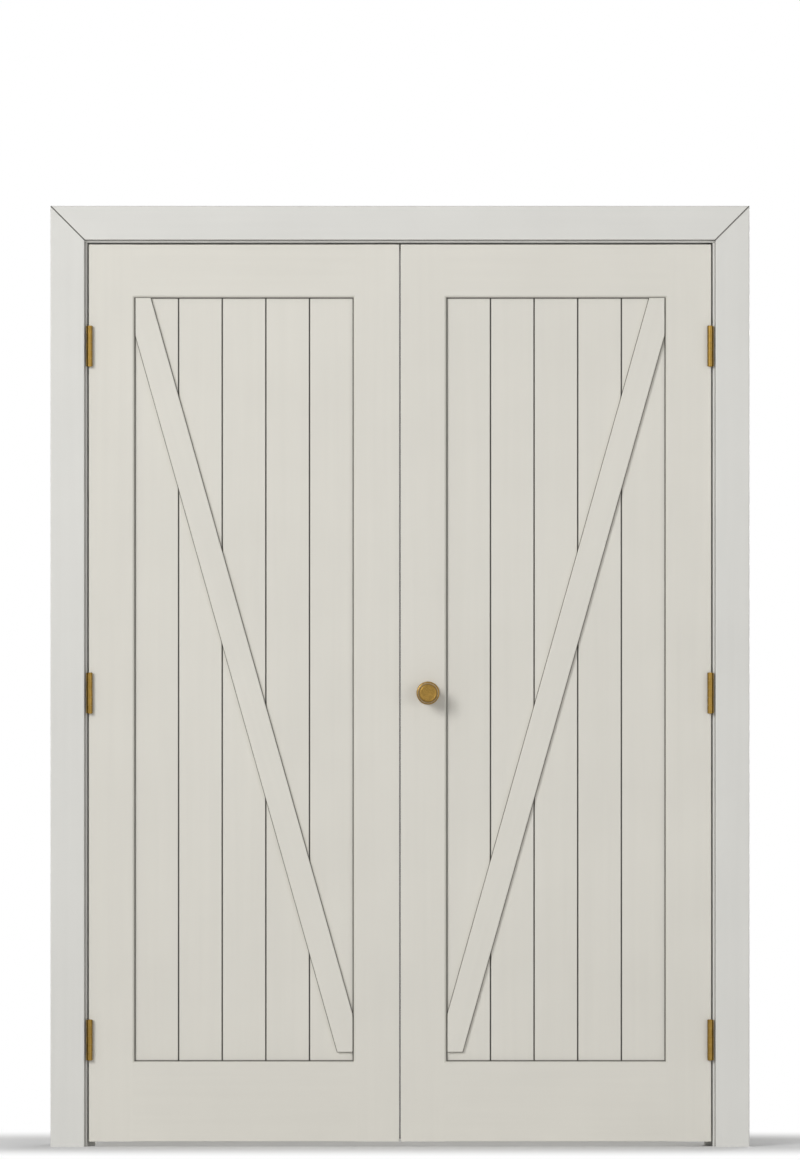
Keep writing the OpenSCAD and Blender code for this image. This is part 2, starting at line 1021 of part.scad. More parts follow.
// Strike plate of the left leaf, and the faceplate of the right leaf's latch
module face_block(proud) {
  block(
    [edge_x - face_t, mid_y - face_w / 2, knob_z - face_h / 2],
    [edge_x + proud, mid_y + face_w / 2, knob_z + face_h / 2]
  );
}

module strike_hole() {
  half_w = bolt_w / 2 + strike_fit;
  half_h = bolt_h / 2 + strike_fit;
  block(
    [edge_x - strike_d, mid_y - half_w, knob_z - half_h],
    [edge_x + cut, mid_y + half_w, knob_z + half_h]
  );
}

module strike_plate() {
  color(brass)
    difference() {
      face_block(0);
      strike_hole();
      at_face_screws()
        screw_hole();
    }
}

// Flush bolt in the left leaf's meeting edge
module flush_plate_block(proud) {
  block(
    [edge_x - flush_t, mid_y - flush_w / 2, flush_z0],
    [edge_x + proud, mid_y + flush_w / 2, flush_z1]
  );
}

module flush_body_block(lap) {
  half = rod_r + flush_wall;
  block(
    [rod_x - half, mid_y - half, flush_z0 + flush_ear],
    [edge_x - flush_t + lap, mid_y + half, flush_z1 - flush_ear]
  );
}

module flush_bolt_housing() {
  half = thumb_w / 2 + rod_fit;
  color(brass)
    difference() {
      union() {
        flush_plate_block(0);
        flush_body_block(flush_t);
      }
      rod_along_z(rod_r + rod_fit, rod_x, mid_y, thumb_z - thumb_h - rod_fit, flush_z1 - flush_ear + cut);
      block(
        [rod_x, mid_y - half, thumb_z - thumb_h / 2 - rod_fit],
        [edge_x + cut, mid_y + half, thumb_z + thumb_h / 2 + rod_throw + rod_fit]
      );
      at_flush_screws()
        screw_hole();
    }
}

module flush_bolt() {
  color(brass) {
    rod_along_z(rod_r, rod_x, mid_y, thumb_z - thumb_h, leaf_top);
    block(
      [rod_x, mid_y - thumb_w / 2, thumb_z - thumb_h / 2],
      [edge_x - works_gap, mid_y + thumb_w / 2, thumb_z + thumb_h / 2]
    );
  }
}

module left_leaf_screws() {
  color(brass) {
    at_leaf_plate_screws([0 : 2])
      screw();
    at_face_screws()
      screw();
    at_flush_screws()
      screw();
  }
}

module right_leaf_screws() {
  color(brass)
    on_right() {
      at_leaf_plate_screws([0 : 2])
        screw();
      at_face_screws()
        screw();
    }
}

// Latch of the right leaf: case, follower and bolt, drawn back
module latch_case() {
  half_w = bolt_w / 2 + bolt_fit;
  half_h = bolt_h / 2 + bolt_fit;
  color(steel)
    on_right()
      difference() {
        union() {
          face_block(0);
          rod_along_x(case_r, case_back, edge_x - face_t / 2, mid_y, knob_z);
        }
        rod_along_x(case_in_r, case_back + case_wall, edge_x - face_t, mid_y, knob_z);
        block(
          [edge_x - face_t - cut, mid_y - half_w, knob_z - half_h],
          [edge_x + cut, mid_y + half_w, knob_z + half_h]
        );
        rod_along_y(follower_r + follower_fit, knob_x, mid_y - case_r - cut, mid_y + case_r + cut, knob_z);
        at_face_screws()
          screw_hole();
      }
}

module latch_follower() {
  color(steel)
    on_right()
      difference() {
        union() {
          rod_along_y(follower_r, knob_x, mid_y - case_r, mid_y + case_r, knob_z);
          translate([knob_x, mid_y, knob_z])
            rotate([0, knob_turn / 2, 0])
              block([-finger_w / 2, -finger_half, -finger_l], [finger_w / 2, finger_half, 0]);
        }
        spindle_block(socket_fit, case_r + cut);
      }
}

module latch_bolt() {
  tail_half = tail_y + tail_t;
  color(steel)
    on_right() {
      translate([0, 0, knob_z - bolt_h / 2])
        linear_extrude(bolt_h)
          polygon([
            [bolt_back, mid_y - bolt_w / 2],
            [edge_x, mid_y - bolt_w / 2],
            [edge_x, mid_y - bolt_w / 2 + bolt_w * bolt_nose_share],
            [edge_x - bolt_bevel, mid_y + bolt_w / 2],
            [bolt_back, mid_y + bolt_w / 2]
          ]);
      block(
        [bolt_back, mid_y - tail_half, tail_z - tail_h],
        [bolt_back + heel_l, mid_y + tail_half, knob_z]
      );
      for (side = [0, 1])
        translate([0, mid_y, 0])
          mirror([0, side, 0])
            block([cross_x - tail_t, tail_y, tail_z - tail_h], [bolt_back + heel_l, tail_half, tail_z]);
      block([cross_x - tail_t, mid_y - tail_half, tail_z - tail_h], [cross_x, mid_y + tail_half, tail_z]);
    }
}

// Knobs, roses and their spindle
module on_front_face() {
  translate([knob_x, -leaf_t, knob_z])
    rotate([90, 0, 0])
      children();
}

module on_back_face() {
  translate([knob_x, 0, knob_z])
    rotate([-90, 0, 0])
      children();
}

module rose() {
  rotate_extrude()
    polygon(concat(
      [[neck_r + neck_fit, 0], [rose_r, 0]],
      arc(rose_r - rose_round, rose_t - rose_round, rose_round, 0),
      [[neck_r + neck_fit, rose_t]]
    ));
}

// Knob outline from the leaf out: neck, rounded back, rounded rim, dished face
function knob_points() = concat(
  [[0, 0], [neck_r, 0]],
  [for (k = [0 : curve_steps]) let (t = 90 * k / curve_steps)
    [neck_r + (knob_r - neck_r) * sin(t), knob_belly - (knob_belly - neck_l) * cos(t)]],
  [for (k = [1 : curve_steps]) let (t = 90 * k / curve_steps)
    [knob_face_r + (knob_r - knob_face_r) * cos(t), knob_belly + (knob_out - knob_belly) * sin(t)]],
  [[knob_face_r - face_dish, knob_out - face_dish], [0, knob_out - face_dish]]
);

module knob() {
  half = spindle_w / 2 + socket_fit;
  difference() {
    rotate_extrude()
      polygon(knob_points());
    block([-half, -half, -cut], [half, half, spindle_grip + socket_fit]);
  }
}

// Square bar around the knobs' axis, reaching the same distance each way from the leaf's middle
module spindle_block(fit, reach) {
  half = spindle_w / 2 + fit;
  block([knob_x - half, mid_y - reach, knob_z - half], [knob_x + half, mid_y + reach, knob_z + half]);
}

module front_rose() {
  color(brass)
    on_right()
      on_front_face()
        rose();
}

module rear_rose() {
  color(brass)
    on_right()
      on_back_face()
        rose();
}

module front_knob() {
  color(brass)
    on_right()
      on_front_face()
        knob();
}

module rear_knob() {
  color(brass)
    on_right()
      on_back_face()
        knob();
}

module spindle() {
  color(steel)
    on_right()
      spindle_block(0, leaf_t / 2 + spindle_grip);
}

left_jamb();
right_jamb();
head_jamb();
left_stop();
right_stop();
head_stop();
left_casing();
right_casing();
head_casing();
rear_left_casing();
rear_right_casing();
rear_head_casing();
for (k = [0 : 2]) {
  left_frame_plate(k);
  right_frame_plate(k);
  left_leaf_plate(k);
  right_leaf_plate(k);
}
hinge_pins();
frame_screws();
bolt_keeper();
left_hinge_stile();
left_meeting_stile();
left_top_rail();
left_bottom_rail();
left_brace();
strike_plate();
flush_bolt_housing();
left_leaf_screws();
flush_bolt();
right_hinge_stile();
right_meeting_stile();
right_top_rail();
right_bottom_rail();
right_brace();
for (i = [1 : board_count]) {
  left_board(i);
  right_board(i);
}
latch_case();
front_rose();
rear_rose();
right_leaf_screws();
front_knob();
rear_knob();
spindle();
latch_follower();
latch_bolt();
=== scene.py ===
"""Looks of an interior double door: brushed paint on the joinery and satin brass on the furniture.

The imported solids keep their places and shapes, and get the finish of their real material. The knobs
and roses are turned again as smooth surfaces of the same outline, and two strips of pile close the
joint between the leaves. All lengths are in metres.
"""

import json
import math

import bpy
import numpy as np
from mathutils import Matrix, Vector


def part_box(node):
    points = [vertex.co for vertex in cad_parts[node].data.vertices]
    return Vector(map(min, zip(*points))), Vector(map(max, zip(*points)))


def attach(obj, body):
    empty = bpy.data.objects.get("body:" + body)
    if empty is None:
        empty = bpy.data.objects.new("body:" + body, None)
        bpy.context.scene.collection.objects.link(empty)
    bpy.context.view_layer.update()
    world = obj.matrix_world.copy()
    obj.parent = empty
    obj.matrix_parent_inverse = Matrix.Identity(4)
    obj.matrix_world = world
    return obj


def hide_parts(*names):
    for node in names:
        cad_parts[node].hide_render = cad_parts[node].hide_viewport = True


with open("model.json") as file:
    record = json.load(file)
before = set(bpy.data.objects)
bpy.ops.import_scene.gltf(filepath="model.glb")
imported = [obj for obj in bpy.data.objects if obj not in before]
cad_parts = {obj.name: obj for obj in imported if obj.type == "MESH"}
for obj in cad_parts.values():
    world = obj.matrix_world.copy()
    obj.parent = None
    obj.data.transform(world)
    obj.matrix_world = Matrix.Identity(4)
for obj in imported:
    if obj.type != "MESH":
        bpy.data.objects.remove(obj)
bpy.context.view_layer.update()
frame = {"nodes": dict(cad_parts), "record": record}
nodes = frame["nodes"]
scene = bpy.context.scene
MM = 0.001

# Colours of the finishes
FRAME_PAINT = "D7D6D1"
LEAF_PAINT = "D8D5CC"
BRASS = "91733A"
DULL_BRASS = "856A34"
STEEL = "A3A29C"
# Dark pile, whose darkness is painted shade for the joint between the leaves
PILE_AS_SHADE = "33302C"
# Painted shade and dust, laid into the creases and joints of the paint
DUST_AND_SHADE = "45413A"
WHITE = "FFFFFF"


def linear(code, gain=1.0):
    """Linear colour of an sRGB hex code times a gain. A channel c is c/12.92 or ((c+0.055)/1.055)^2.4."""
    srgb = np.array([int(code[i : i + 2], 16) / 255 for i in (0, 2, 4)])
    value = np.where(srgb <= 0.04045, srgb / 12.92, ((srgb + 0.055) / 1.055) ** 2.4)
    return (*np.clip(value * gain, 0, 1), 1.0)


def add(tree, kind, links=None, **settings):
    """Adds a shader node with its settings. links gives each input a value, or a socket to take it from."""
    made = tree.nodes.new(kind)
    for name, value in settings.items():
        setattr(made, name, value)
    for key, value in (links or {}).items():
        if isinstance(value, bpy.types.NodeSocket):
            tree.links.new(value, made.inputs[key])
        else:
            made.inputs[key].default_value = value
    return made


def empty_material(name):
    """A material with nothing in its tree, and that tree."""
    material = bpy.data.materials.new(name)
    material.use_nodes = True
    material.node_tree.nodes.clear()
    return material, material.node_tree


def stretched(width, length):
    """Scale of a pattern whose features are that wide across the grain, in X and Y, and that long in Z."""
    return (1 / width, 1 / width, 1 / length)


# Brushed paint: the width, the length and the noise detail of its marks
BRISTLE = (1.8 * MM, 110 * MM, 2.0)
# A brush's lap is drawn wider than a bristle's mark, so that it shows from a step away
LAP = (16 * MM, 520 * MM, 3.0)
GRAIN = (7 * MM, 380 * MM, 4.0)
MOTTLE = 240 * MM
# Streaks are the mottle and a share of the laps. The colour has its two gains at the ends of their range.
LAP_SHARE = 0.6
STREAK_RANGE = (0.45, 1.15)
PAINT_GAINS = (0.955, 1.015)
PAINT_ROUGH = (0.36, 0.5)
PAINT_IOR = 1.48
# The relief is the bristles' marks and this many times the grain
GRAIN_SHARE = 3.0
PAINT_RELIEF = 0.05 * MM
# Painted shade and dust darken the paint along a crease: fully up to the first distance from it, and not
# past the second
CREASE = (0.6 * MM, 2.2 * MM)
# Painted shade and dust in a board's joints grow with depth below its faces, from the first depth to the
# second
JOINT = (0.0 * MM, 1.0 * MM)
# How far the paint goes towards the colour of painted shade and dust at the heart of a crease or joint
DUST_AND_SHADE_SHARE = 0.9
# A length past every piece
ENDLESS = 9.0


def crease(tree, place, centre, half, turn=0.0, foot=-ENDLESS, back=ENDLESS):
    """Factor that is 1 along the outline of a turned rectangle in the elevation, and 0 away from it and
    behind y = back. With (u, v) as the place in the rectangle's own axes, and a and b as half its sides, the
    distance is |max(|u| - a, |v| - b, foot - z)|. The leaves mirror each other, so X is folded."""
    folded = add(tree, "ShaderNodeVectorMath", {0: place}, operation="ABSOLUTE").outputs[0]
    moved = add(tree, "ShaderNodeVectorMath", {0: folded, 1: centre}, operation="SUBTRACT").outputs[0]
    turned_to = add(tree, "ShaderNodeMapping", {"Vector": moved, "Rotation": (0, turn, 0)}).outputs[0]
    sides = add(tree, "ShaderNodeVectorMath", {0: turned_to}, operation="ABSOLUTE").outputs[0]
    past = add(tree, "ShaderNodeVectorMath", {0: sides, 1: half}, operation="SUBTRACT").outputs[0]
    u, _, v = add(tree, "ShaderNodeSeparateXYZ", {0: past}).outputs
    _, y, z = add(tree, "ShaderNodeSeparateXYZ", {0: place}).outputs
    below = add(tree, "ShaderNodeMath", {0: foot, 1: z}, operation="SUBTRACT").outputs[0]
    distance = add(tree, "ShaderNodeMath", {0: u, 1: v}, operation="MAXIMUM").outputs[0]
    distance = add(tree, "ShaderNodeMath", {0: distance, 1: below}, operation="MAXIMUM").outputs[0]
    near = add(tree, "ShaderNodeMath", {0: distance}, operation="ABSOLUTE").outputs[0]
    ahead = add(tree, "ShaderNodeMath", {0: y, 1: back}, operation="LESS_THAN").outputs[0]
    # The factor says where the paint gets painted shade and dust
    links = {"Value": near, "From Min": CREASE[0], "From Max": CREASE[1], "To Min": ahead, "To Max": 0.0}
    return add(tree, "ShaderNodeMapRange", links, interpolation_type="SMOOTHSTEP").outputs[0]


def joint(tree, place, front, back):
    """Factor of painted shade and dust that grows with depth below the nearer face of a board: its depth is
    t/2 - |y - middle|.
    """
    y = add(tree, "ShaderNodeSeparateXYZ", {0: place}).outputs["Y"]
    off = add(tree, "ShaderNodeMath", {0: y, 1: (front + back) / 2}, operation="SUBTRACT").outputs[0]
    off = add(tree, "ShaderNodeMath", {0: off}, operation="ABSOLUTE").outputs[0]
    depth = add(tree, "ShaderNodeMath", {0: (back - front) / 2, 1: off}, operation="SUBTRACT").outputs[0]
    links = {"Value": depth, "From Min": JOINT[0], "From Max": JOINT[1]}
    return add(tree, "ShaderNodeMapRange", links, interpolation_type="SMOOTHSTEP").outputs[0]


def brushed_paint(name, code, turn, shaded_creases):
    """Satin alkyd paint laid off with a brush along the grain, on planed softwood. It gives the eye a soft
    sheen, faint streaks that run with each piece, a grain that only just shows through, and dark lines of
    painted shade and dust in the creases and joints. turn is the angle about Y that brings the piece's grain
    upright, and the last argument lists those creases and joints, as pairs of a function and what it takes."""
    material, tree = empty_material(name)
    place = add(tree, "ShaderNodeTexCoord").outputs["Object"]
    upright = add(tree, "ShaderNodeMapping", {"Vector": place, "Rotation": (0, turn, 0)}).outputs[0]
    marks = []
    for width, length, detail in (BRISTLE, LAP, GRAIN):
        scale = stretched(width, length)
        scaled = add(tree, "ShaderNodeMapping", {"Vector": upright, "Scale": scale}).outputs[0]
        noise = add(tree, "ShaderNodeTexNoise", {"Vector": scaled, "Scale": 1.0, "Detail": detail})
        marks.append(noise.outputs[0])
    bristles, laps, grain = marks

    mottle = add(tree, "ShaderNodeTexNoise", {"Vector": place, "Scale": 1 / MOTTLE}).outputs[0]
    links = {0: laps, 1: LAP_SHARE, 2: mottle}
    streaks = add(tree, "ShaderNodeMath", links, operation="MULTIPLY_ADD").outputs[0]
    links = {"Value": streaks, "From Min": STREAK_RANGE[0], "From Max": STREAK_RANGE[1]}
    tone = add(tree, "ShaderNodeMapRange", links).outputs[0]
    colour = add(tree, "ShaderNodeValToRGB", {"Fac": tone})
    for stop, gain in zip(colour.color_ramp.elements, PAINT_GAINS):
        stop.color = linear(code, gain)
    shown = colour.outputs[0]
    # Painted shade and dust: each crease and joint takes the paint towards their dark colour
    for factor_of, facts in shaded_creases:
        links = {0: factor_of(tree, place, **facts), 1: DUST_AND_SHADE_SHARE}
        shade_and_dust = add(tree, "ShaderNodeMath", links, operation="MULTIPLY").outputs[0]
        shown = add(tree, "ShaderNodeMixRGB", {0: shade_and_dust, 1: shown, 2: linear(DUST_AND_SHADE)}).outputs[0]

    links = {"Value": bristles, "To Min": PAINT_ROUGH[0], "To Max": PAINT_ROUGH[1]}
    dull = add(tree, "ShaderNodeMapRange", links).outputs[0]
    links = {0: grain, 1: GRAIN_SHARE, 2: bristles}
    relief = add(tree, "ShaderNodeMath", links, operation="MULTIPLY_ADD").outputs[0]
    normal = add(tree, "ShaderNodeBump", {"Height": relief, "Distance": PAINT_RELIEF}).outputs[0]
    links = {"Base Color": shown, "Roughness": dull, "IOR": PAINT_IOR, "Normal": normal}
    shader = add(tree, "ShaderNodeBsdfPrincipled", links)
    add(tree, "ShaderNodeOutputMaterial", {"Surface": shader.outputs[0]})
    return material


# Satin metals: the width, the length and the noise detail of their scratches, the spacing of their turning
# marks and how far these wander, and the size and the noise detail of their dull patches
SCRATCH = (0.5 * MM, 40 * MM, 3.0)
RING_SPACING = 0.7 * MM
RING_WANDER = 0.6
TARNISH = (9 * MM, 4.0)
# The colour has its two gains where the patches' noise has these two values
TARNISH_RANGE = (0.3, 0.7)
METAL_GAINS = (0.84, 1.12)
# Roughness of each metal on its brightest lines, and what the dullest lines add to it
DRAWN_ROUGH = 0.27
PLATED_ROUGH = 0.24
TURNED_ROUGH = 0.25
LINE_ROUGH = 0.14
METAL_RELIEF = 0.007 * MM
# A wave texture repeats every 2 pi / 20 of its scaled length
WAVE_PERIOD = 2 * math.pi / 20


def satin_metal(name, code, rough, axis=None):
    """Metal rubbed to a satin and left to dull a little. It gives the eye a broad soft highlight, broken by
    fine lines: upright ones on drawn pieces, and rings on turned ones, about a line along Y through axis."""
    material, tree = empty_material(name)
    place = add(tree, "ShaderNodeTexCoord").outputs["Object"]
    if axis is None:
        width, length, detail = SCRATCH
        scale = stretched(width, length)
        scaled = add(tree, "ShaderNodeMapping", {"Vector": place, "Scale": scale}).outputs[0]
        links = {"Vector": scaled, "Scale": 1.0, "Detail": detail}
        lines = add(tree, "ShaderNodeTexNoise", links).outputs[0]
    else:
        links = {"Vector": place, "Location": [-c for c in axis]}
        centred = add(tree, "ShaderNodeMapping", links).outputs[0]
        links = {"Vector": centred, "Scale": WAVE_PERIOD / RING_SPACING, "Distortion": RING_WANDER}
        rings = add(tree, "ShaderNodeTexWave", links, wave_type="RINGS", rings_direction="Y")
        lines = rings.outputs["Fac"]
    size, detail = TARNISH
    links = {"Vector": place, "Scale": 1 / size, "Detail": detail}
    patches = add(tree, "ShaderNodeTexNoise", links).outputs[0]
    colour = add(tree, "ShaderNodeValToRGB", {"Fac": patches})
    for stop, position, gain in zip(colour.color_ramp.elements, TARNISH_RANGE, METAL_GAINS):
        stop.position = position
        stop.color = linear(code, gain)
    links = {0: lines, 1: LINE_ROUGH, 2: rough}
    dull = add(tree, "ShaderNodeMath", links, operation="MULTIPLY_ADD").outputs[0]
    normal = add(tree, "ShaderNodeBump", {"Height": lines, "Distance": METAL_RELIEF}).outputs[0]
    links = {"Base Color": colour.outputs[0], "Metallic": 1.0, "Roughness": dull, "Normal": normal}
    shader = add(tree, "ShaderNodeBsdfPrincipled", links)
    add(tree, "ShaderNodeOutputMaterial", {"Surface": shader.outputs[0]})
    return material


# Painted shade and dust darken the paint along these creases
# Creases round the boarded field of a leaf, round the brace on it, along the mitres of the casings, and
# where the casings stand on the lining
LEVEL = math.radians(90)
BRACE_W = 55 * MM
BRACE_TIP_W = 33.5 * MM
field_x = (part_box("right_meeting_stile")[1].x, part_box("right_hinge_stile")[0].x)
field_z = (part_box("right_bottom_rail")[1].z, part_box("right_top_rail")[0].z)
field = {
    "centre": (sum(field_x) / 2, 0, sum(field_z) / 2),
    "half": ((field_x[1] - field_x[0]) / 2, ENDLESS, (field_z[1] - field_z[0]) / 2),
}
board_front, board_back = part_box("right_board_1")[0].y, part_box("right_board_1")[1].y
brace_low, brace_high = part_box("right_brace")
# The brace runs from corner to corner of its box, and its level ends are a tip's width wide
brace_run = brace_high.x - brace_low.x - 2 * BRACE_TIP_W
brace_rise = brace_high.z - brace_low.z
brace_slope = math.atan2(brace_run, brace_rise) + math.asin(BRACE_W / math.hypot(brace_run, brace_rise))
brace = {
    "centre": (brace_low + brace_high) / 2 * Vector((1, 0, 1)),
    "half": (BRACE_W / 2, ENDLESS, ENDLESS),
    "turn": -brace_slope,
    "foot": brace_low.z,
    "back": (board_front + board_back) / 2,
}
casing_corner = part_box("head_casing")[1] * Vector((1, 0, 1))
mitre = {"centre": casing_corner, "half": (0, ENDLESS, ENDLESS), "turn": -LEVEL / 2}
casing_inside = (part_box("right_casing")[0].x, ENDLESS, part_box("head_casing")[0].z)
reveal = {"centre": (0, 0, 0), "half": casing_inside}
board_shade_and_dust = [(crease, field), (crease, brace), (joint, {"front": board_front, "back": board_back})]

# Finishes of the solids: colour, turn, and the creases that get painted shade and dust. The grain of a piece
# runs along its length.
PAINTED = {
    "stile": (LEAF_PAINT, 0.0, [(crease, field)]),
    "rail": (LEAF_PAINT, LEVEL, [(crease, field)]),
    "board": (LEAF_PAINT, 0.0, board_shade_and_dust),
    "left_brace": (LEAF_PAINT, brace_slope, []),
    "right_brace": (LEAF_PAINT, -brace_slope, []),
    "casing_head": (FRAME_PAINT, LEVEL, [(crease, mitre)]),
    "casing_leg": (FRAME_PAINT, 0.0, [(crease, mitre)]),
    "lining_head": (FRAME_PAINT, LEVEL, [(crease, reveal)]),
    "lining_leg": (FRAME_PAINT, 0.0, [(crease, reveal)]),
}
paint = {kind: brushed_paint(f"satin_paint_{kind}", *facts) for kind, facts in PAINTED.items()}
drawn_brass = satin_metal("satin_drawn_brass", DULL_BRASS, DRAWN_ROUGH)
plated_steel = satin_metal("plated_steel", STEEL, PLATED_ROUGH)
METALS = {"satin_brass": drawn_brass, "bright_steel": plated_steel}


def painted_kind(node):
    """The kind of a painted piece: a part of a leaf by its name, and else a casing or a lining piece."""
    for kind in ("left_brace", "right_brace", "board", "stile", "rail"):
        if kind in node:
            return kind
    return ("casing" if "casing" in node else "lining") + ("_head" if "head" in node else "_leg")


for subpart in frame["record"]["subparts"]:
    name, slot = subpart["node"], subpart["material_slot"]
    for finish in nodes[name].material_slots:
        finish.link = "OBJECT"
        finish.material = METALS[slot] if slot in METALS else paint[painted_kind(name)]

# Turned knobs and roses: an outline is rows of (radius, distance from the leaf's face)
TURN_STEPS = 144
CURVE_STEPS = 32
EDGE_STEPS = 5
SHARP = math.radians(35)
NECK_R = 9 * MM
NECK_L = 25 * MM
KNOB_BELLY = 45 * MM
KNOB_FACE_R = 16.5 * MM
FACE_DISH = 0.8 * MM
SOCKET_R = 5.8 * MM
SOCKET_D = 32 * MM
NECK_FIT = 0.3 * MM
ROSE_ROUND = 3 * MM
FINE_EDGE = 0.3 * MM


def quarter(centre, reach, start):
    """A quarter of an ellipse: centre + reach * (cos t, sin t), for t from start to start + 90 degrees."""
    t = math.radians(start) + np.linspace(0, math.pi / 2, CURVE_STEPS)
    return np.array(centre) + np.array(reach) * np.column_stack([np.cos(t), np.sin(t)])


def eased(before, corner, after):
    """A corner worn round: the curve (1-t)^2 a + 2t(1-t) corner + t^2 b, where a and b lie a fine edge away
    from the corner, towards the points before and after it."""
    before, corner, after = map(np.array, (before, corner, after))
    a = corner + FINE_EDGE * (before - corner) / np.linalg.norm(before - corner)
    b = corner + FINE_EDGE * (after - corner) / np.linalg.norm(after - corner)
    t = np.linspace(0, 1, EDGE_STEPS)[:, None]
    return (1 - t) ** 2 * a + 2 * t * (1 - t) * corner + t**2 * b


def knob_outline(radius, reach):
    """From the socket's end on the axis, out along the neck, and over the rim to the middle of the face."""
    socket = [[0, SOCKET_D], [SOCKET_R, SOCKET_D], [SOCKET_R, 0], [NECK_R, 0]]
    back = quarter((NECK_R, KNOB_BELLY), (radius - NECK_R, KNOB_BELLY - NECK_L), -90)
    rim = quarter((KNOB_FACE_R, KNOB_BELLY), (radius - KNOB_FACE_R, reach - KNOB_BELLY), 0)
    lip = [KNOB_FACE_R, reach]
    foot = [KNOB_FACE_R - FACE_DISH, reach - FACE_DISH]
    middle = [0, reach - FACE_DISH]
    face = [eased(rim[-2], lip, foot), eased(lip, foot, middle), [middle]]
    return np.vstack([socket, back, rim[1:-1], *face])


def rose_outline(radius, thickness):
    """A ring's section, from its bore at the leaf's face, round the rim and back to the bore."""
    bore = NECK_R + NECK_FIT
    inner, outer = [bore, 0], [radius, 0]
    rim = quarter((radius - ROSE_ROUND, thickness - ROSE_ROUND), (ROSE_ROUND, ROSE_ROUND), 0)
    return np.vstack([[inner], [outer], rim, eased(rim[-1], [bore, thickness], inner)])


def turned(name, outline, centre, outward, ring):
    """Surface of revolution about a line along Y: at step i and turn t it is
    centre + (r[i] cos t, outward h[i], r[i] sin t). A ring's outline is closed. Any other starts and
    ends on the axis, at two poles with a fan of triangles round each."""
    r, h = np.array(outline).T
    t = np.linspace(0, 2 * math.pi, TURN_STEPS, endpoint=False)
    circle = np.stack([np.cos(t), 0 * t, np.sin(t)], axis=-1)
    along = np.stack([0 * h, outward * h, 0 * h], axis=-1)
    grid = np.array(centre) + r[:, None, None] * circle + along[:, None, :]
    circles = grid if ring else grid[1:-1]
    count = circles.shape[0] * TURN_STEPS
    index = np.arange(count).reshape(-1, TURN_STEPS)
    if ring:
        points, first, last = circles.reshape(-1, 3), index[:0], index[:1]
    else:
        points = np.vstack([circles.reshape(-1, 3), grid[0, :1], grid[-1, :1]])
        first, last = np.full((1, TURN_STEPS), count), np.full((1, TURN_STEPS), count + 1)
    rows = np.vstack([first, index, last])
    after = np.roll(rows, -1, axis=1)
    quads = np.stack([rows[:-1], after[:-1], after[1:], rows[1:]], axis=-1).reshape(-1, 4)
    outer = quads if outward < 0 else quads[:, ::-1]
    # At a pole two corners of a quad are the same point, which is kept once
    faces = [list(dict.fromkeys(corners)) for corners in outer.tolist()]
    mesh = bpy.data.meshes.new(name)
    mesh.from_pydata(points.tolist(), [], faces)
    mesh.shade_smooth()
    mesh.set_sharp_from_angle(angle=SHARP)
    piece = bpy.data.objects.new(name, mesh)
    scene.collection.objects.link(piece)
    return piece


def place_turned(node, make_outline, body, ring):
    """Turns a smooth piece of the outline in the place of a knob or rose, at the front or at the rear."""
    low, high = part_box(node)
    outward = 1 if low.y >= 0 else -1
    centre = ((low.x + high.x) / 2, low.y if outward > 0 else high.y, (low.z + high.z) / 2)
    outline = make_outline((high.x - low.x) / 2, high.y - low.y)
    piece = turned(f"{node}_turned", outline, centre, outward, ring)
    piece.data.materials.append(turned_brass)
    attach(piece, body)
    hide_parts(node)


knob_low, knob_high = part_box("front_knob")
turned_brass = satin_metal("satin_turned_brass", BRASS, TURNED_ROUGH, axis=(knob_low + knob_high) / 2)
for side in ("front", "rear"):
    place_turned(f"{side}_knob", knob_outline, "knobs", ring=False)
    place_turned(f"{side}_rose", rose_outline, "right_leaf", ring=True)

# Pile seals, one on each meeting edge, which close the joint between the leaves and just miss each other
# The pile is dark as painted shade: it stands in for the shade in the joint between the leaves
SEAL_W = 3.0 * MM
SEAL_STEPS = 9
SEAL_SET_BACK = 1.8 * MM
SEAL_MISS = 0.15 * MM
SEAL_END = 6 * MM
TUFT = 4 * MM
TUFT_STEPS = 4
TUFT_SHARE = 0.06
# The pile's fibres: their size, their noise detail, and the gains on the colour of the darkest and palest
FIBRE = 0.35 * MM
FIBRE_DETAIL = 3.0
PILE_GAINS = (0.7, 1.3)
PILE_RELIEF = 0.1 * MM
PILE_ROUGH = 0.95
PILE_SHEEN = 0.2


def shade_pile():
    """Short woven pile of polypropylene, its dark colour painted shade for the joint it closes. It gives the
    eye a soft dark line with no shine of its own.
    """
    material, tree = empty_material("woven_pile_as_shade")
    place = add(tree, "ShaderNodeTexCoord").outputs["Object"]
    links = {"Vector": place, "Scale": 1 / FIBRE, "Detail": FIBRE_DETAIL}
    fibres = add(tree, "ShaderNodeTexNoise", links).outputs[0]
    colour = add(tree, "ShaderNodeValToRGB", {"Fac": fibres})
    for stop, gain in zip(colour.color_ramp.elements, PILE_GAINS):
        stop.color = linear(PILE_AS_SHADE, gain)
    normal = add(tree, "ShaderNodeBump", {"Height": fibres, "Distance": PILE_RELIEF}).outputs[0]
    links = {
        "Base Color": colour.outputs[0],
        "Roughness": PILE_ROUGH,
        "Sheen Weight": PILE_SHEEN,
        "Normal": normal,
    }
    shader = add(tree, "ShaderNodeBsdfPrincipled", links)
    add(tree, "ShaderNodeOutputMaterial", {"Surface": shader.outputs[0]})
    return material


